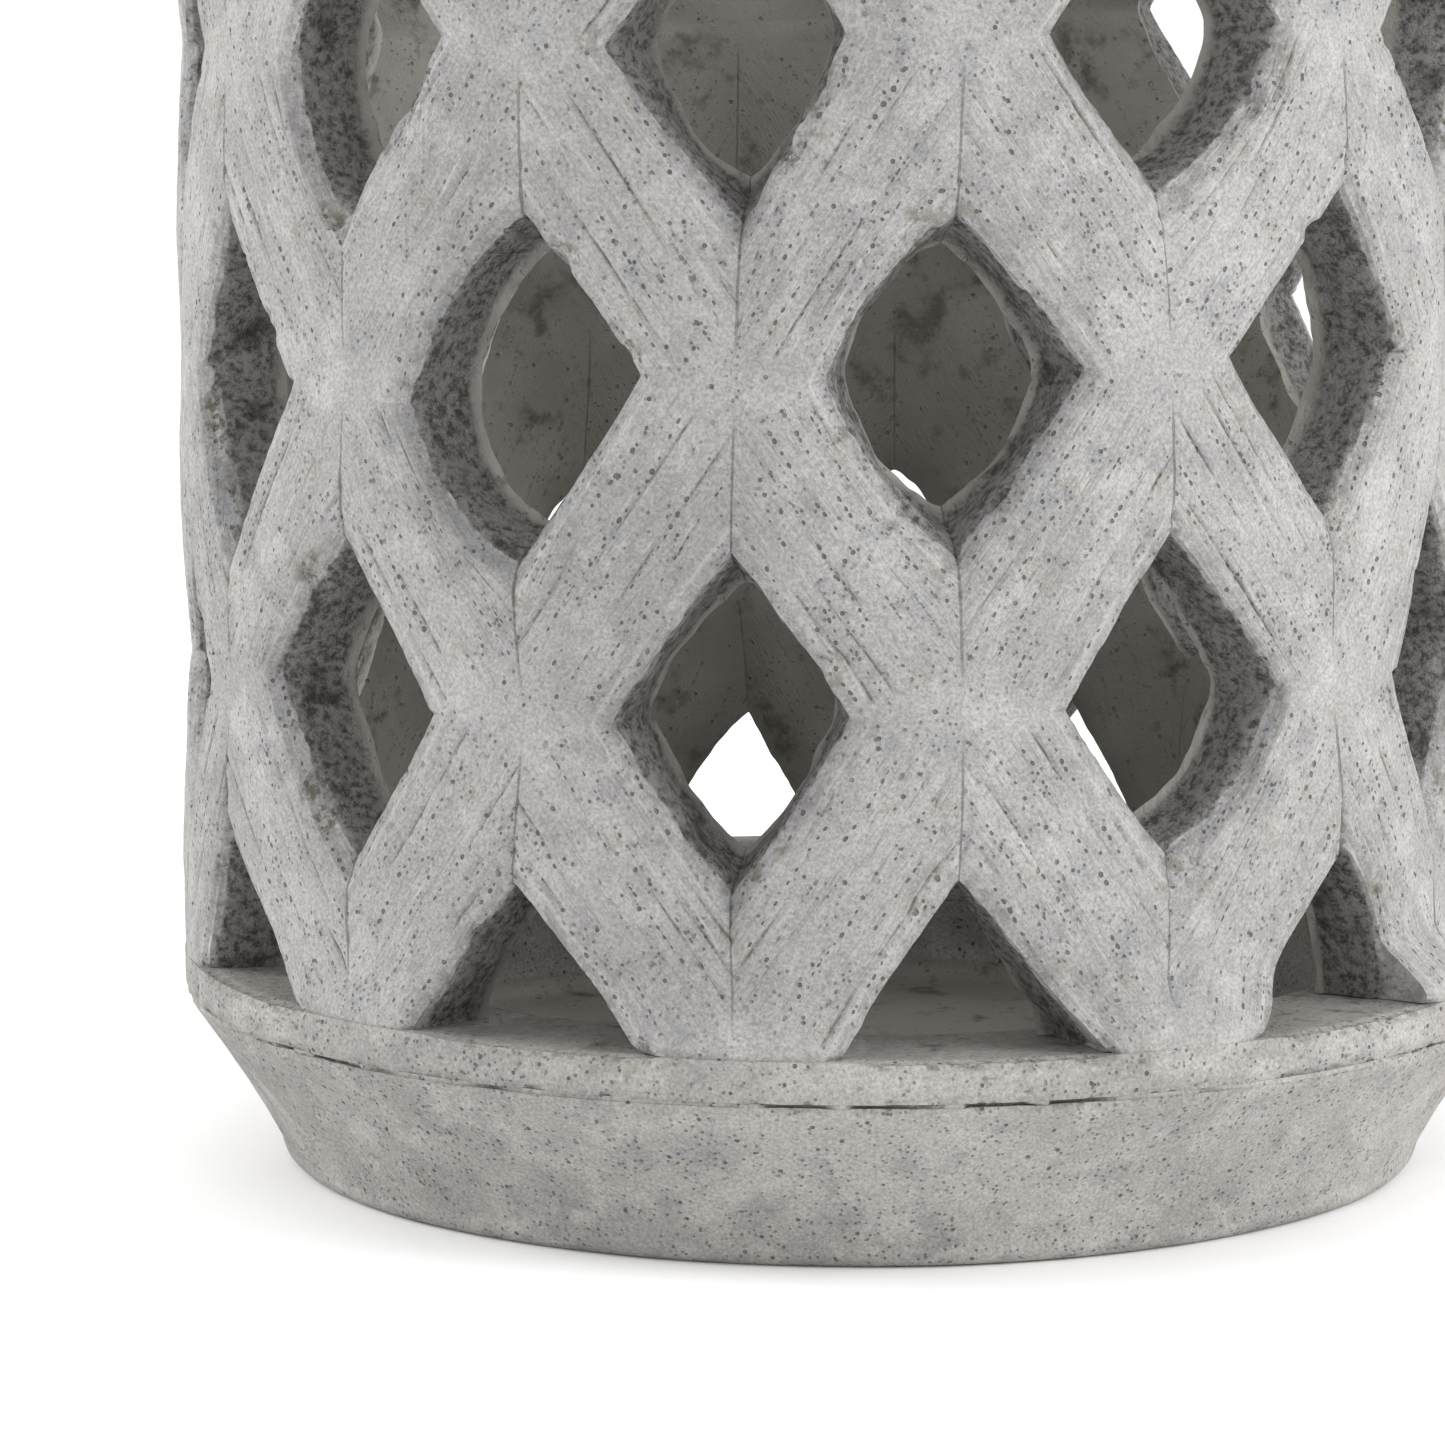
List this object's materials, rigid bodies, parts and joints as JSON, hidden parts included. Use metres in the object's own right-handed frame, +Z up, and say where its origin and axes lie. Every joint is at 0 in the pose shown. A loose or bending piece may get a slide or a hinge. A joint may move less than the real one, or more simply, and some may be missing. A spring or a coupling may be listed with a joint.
{
  "type": "stone lantern",
  "caption": "Round garden lantern: a drum of pierced stone lattice with diamond openings on a tapered foot, open at the top, for a candle or lamp inside.",
  "frame": {"origin": "centre of the flat underside of the foot", "axes": "+Z up the axis of the drum; a column of openings looks along -Y"},
  "size_m": [0.31, 0.31, 0.3521],
  "materials": {
    "lattice_stone": "whitewashed cast stone, pitted and combed, aged dark in the openings",
    "plain_stone": "whitewashed cast stone, warm grey, pitted",
    "mortar": "lime mortar, struck flush",
    "steel": "plain stainless dowel"
  },
  "bodies": {
    "root": {"foot": "plain_stone", "foot_mortar_bed": "mortar", "base_ring": "plain_stone", "lattice_course_1": "lattice_stone", "lattice_course_2": "lattice_stone", "lattice_course_3": "lattice_stone", "lattice_course_4": "lattice_stone", "top_ring": "plain_stone", "mortar_bed_0": "mortar", "mortar_bed_1": "mortar", "mortar_bed_2": "mortar", "mortar_bed_3": "mortar", "mortar_bed_4": "mortar", "pins_0": "steel", "pins_1": "steel", "pins_2": "steel", "pins_3": "steel", "pins_4": "steel"}
  },
  "joints": []
}
